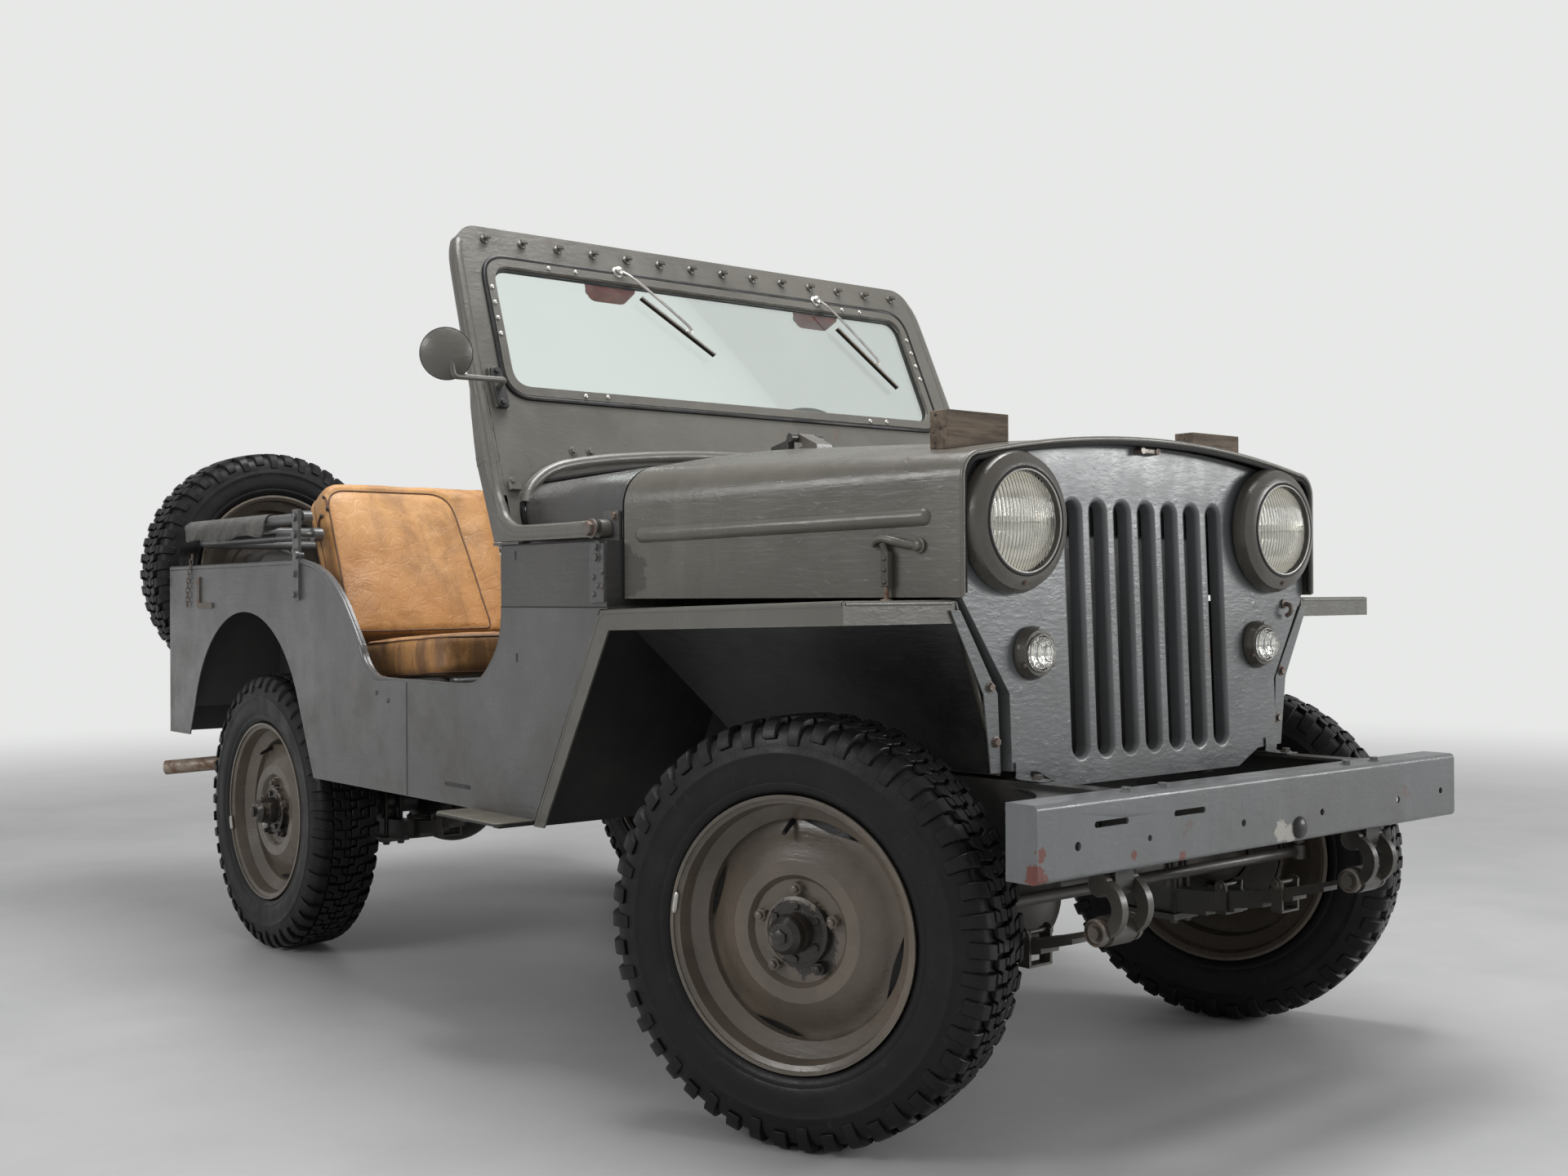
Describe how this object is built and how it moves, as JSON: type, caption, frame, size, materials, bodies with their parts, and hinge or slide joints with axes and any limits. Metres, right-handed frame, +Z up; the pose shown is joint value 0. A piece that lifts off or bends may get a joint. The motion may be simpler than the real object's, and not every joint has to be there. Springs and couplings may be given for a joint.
{
  "type": "open four-wheel-drive field car",
  "caption": "Open flat-fender four-wheel-drive field car with high hood, fold-down windscreen, folded top bows and a spare wheel at the rear.",
  "frame": {"origin": "on the ground under the middle of the car's length and width", "axes": "+X to the car's left, +Y to its rear, +Z up"},
  "size_m": [1.65, 3.307, 1.6976],
  "materials": {
    "body_paint": "brushed satin",
    "frame_paint": "satin",
    "wheel_paint": "satin",
    "tyre_rubber": "dressed",
    "black_plastic": "worn",
    "cast_iron": "painted",
    "rusty_steel": "dull",
    "lens_glass": "fluted",
    "screen_glass": "clear",
    "seat_cover": "stained",
    "canvas": "woven",
    "old_wood": "weathered",
    "bright_steel": "satin"
  },
  "bodies": {
    "chassis": {"frame_rails": "frame_paint", "front_bumper": "body_paint", "leaf_springs": "frame_paint", "front_axle": "frame_paint", "rear_axle": "frame_paint", "engine_block": "cast_iron", "prop_shafts": "frame_paint", "radiator": "cast_iron", "exhaust": "rusty_steel", "tub": "body_paint", "cowl": "body_paint", "grille_shell": "body_paint", "lamp_bodies": "body_paint", "lamp_lenses": "lens_glass", "fender_right": "body_paint", "fender_left": "body_paint", "seat_frames": "frame_paint", "seat_cushions": "seat_cover", "seat_backs": "seat_cover", "fuel_tank": "frame_paint", "steering_column": "frame_paint", "controls": "black_plastic", "body_brackets": "body_paint", "spare_wheel": "wheel_paint", "spare_tyre": "tyre_rubber"},
    "hood": {"hood_panel": "body_paint", "hood_blocks": "old_wood"},
    "windscreen": {"windscreen_frame": "body_paint", "windscreen_glass": "screen_glass", "wipers": "bright_steel", "mirror": "body_paint"},
    "top_bow_upper": {"top_bow_upper": "frame_paint", "canvas_flap": "canvas"},
    "top_bow_lower": {"top_bow_lower": "frame_paint"},
    "steering_wheel": {"steering_wheel": "black_plastic"},
    "knuckle_right": {"knuckle_right": "frame_paint"},
    "knuckle_left": {"knuckle_left": "frame_paint"},
    "tie_rod": {"tie_rod": "frame_paint"},
    "wheel_front_right": {"wheel_front_right": "wheel_paint", "tyre_front_right": "tyre_rubber"},
    "wheel_front_left": {"wheel_front_left": "wheel_paint", "tyre_front_left": "tyre_rubber"},
    "wheel_rear_right": {"wheel_rear_right": "wheel_paint", "tyre_rear_right": "tyre_rubber"},
    "wheel_rear_left": {"wheel_rear_left": "wheel_paint", "tyre_rear_left": "tyre_rubber"}
  },
  "joints": [
    {"name": "steer_left", "type": "hinge", "parent": "chassis", "child": "knuckle_left", "pos_m": [0.541, -1.15, 0.351], "axis": [0, 0, 1], "range_deg": [-48, 6]},
    {"name": "steer_right", "type": "hinge", "parent": "chassis", "child": "knuckle_right", "pos_m": [-0.541, -1.15, 0.351], "axis": [0, 0, 1], "range_deg": [-48, 6]},
    {"name": "tie_rod_pin", "type": "hinge", "parent": "knuckle_left", "child": "tie_rod", "pos_m": [0.60013, -1.30404, 0.366], "axis": [0, 0, 1], "range_deg": [-6, 48]},
    {"name": "steering_wheel_turn", "type": "hinge", "parent": "chassis", "child": "steering_wheel", "pos_m": [0.33, 0.02, 1.185], "axis": [0, 0.8495, 0.5275], "range_deg": [-672, 84]},
    {"name": "spin_front_right", "type": "hinge", "parent": "knuckle_right", "child": "wheel_front_right", "pos_m": [-0.61055, -1.1767, 0.351], "axis": [0.9336, 0.3584, 0], "continuous": true},
    {"name": "spin_front_left", "type": "hinge", "parent": "knuckle_left", "child": "wheel_front_left", "pos_m": [0.61055, -1.1233, 0.351], "axis": [0.9336, 0.3584, 0], "continuous": true},
    {"name": "spin_rear_right", "type": "hinge", "parent": "chassis", "child": "wheel_rear_right", "pos_m": [-0.6155, 0.882, 0.351], "axis": [1, 0, 0], "continuous": true},
    {"name": "spin_rear_left", "type": "hinge", "parent": "chassis", "child": "wheel_rear_left", "pos_m": [0.6155, 0.882, 0.351], "axis": [1, 0, 0], "continuous": true},
    {"name": "hood_hinge", "type": "hinge", "parent": "chassis", "child": "hood", "pos_m": [0, -0.748, 1.209], "axis": [-1, 0, 0], "range_deg": [0, 105]},
    {"name": "windscreen_fold", "type": "hinge", "parent": "chassis", "child": "windscreen", "pos_m": [0, -0.715, 1.021], "axis": [-1, 0, 0], "range_deg": [-121, 0]},
    {"name": "bow_fold", "type": "hinge", "parent": "chassis", "child": "top_bow_upper", "pos_m": [0, 0.588, 1.092], "axis": [1, 0, 0], "range_deg": [0, 100]},
    {"name": "lower_bow_fold", "type": "hinge", "parent": "chassis", "child": "top_bow_lower", "pos_m": [0, 0.588, 1.051], "axis": [1, 0, 0], "range_deg": [0, 60]}
  ],
  "couplings": [
    {"joint": "steer_right", "follows": "steer_left", "ratio": 1},
    {"joint": "tie_rod_pin", "follows": "steer_left", "ratio": -1},
    {"joint": "steering_wheel_turn", "follows": "steer_left", "ratio": 14},
    {"joint": "lower_bow_fold", "follows": "bow_fold", "ratio": 0.6}
  ]
}
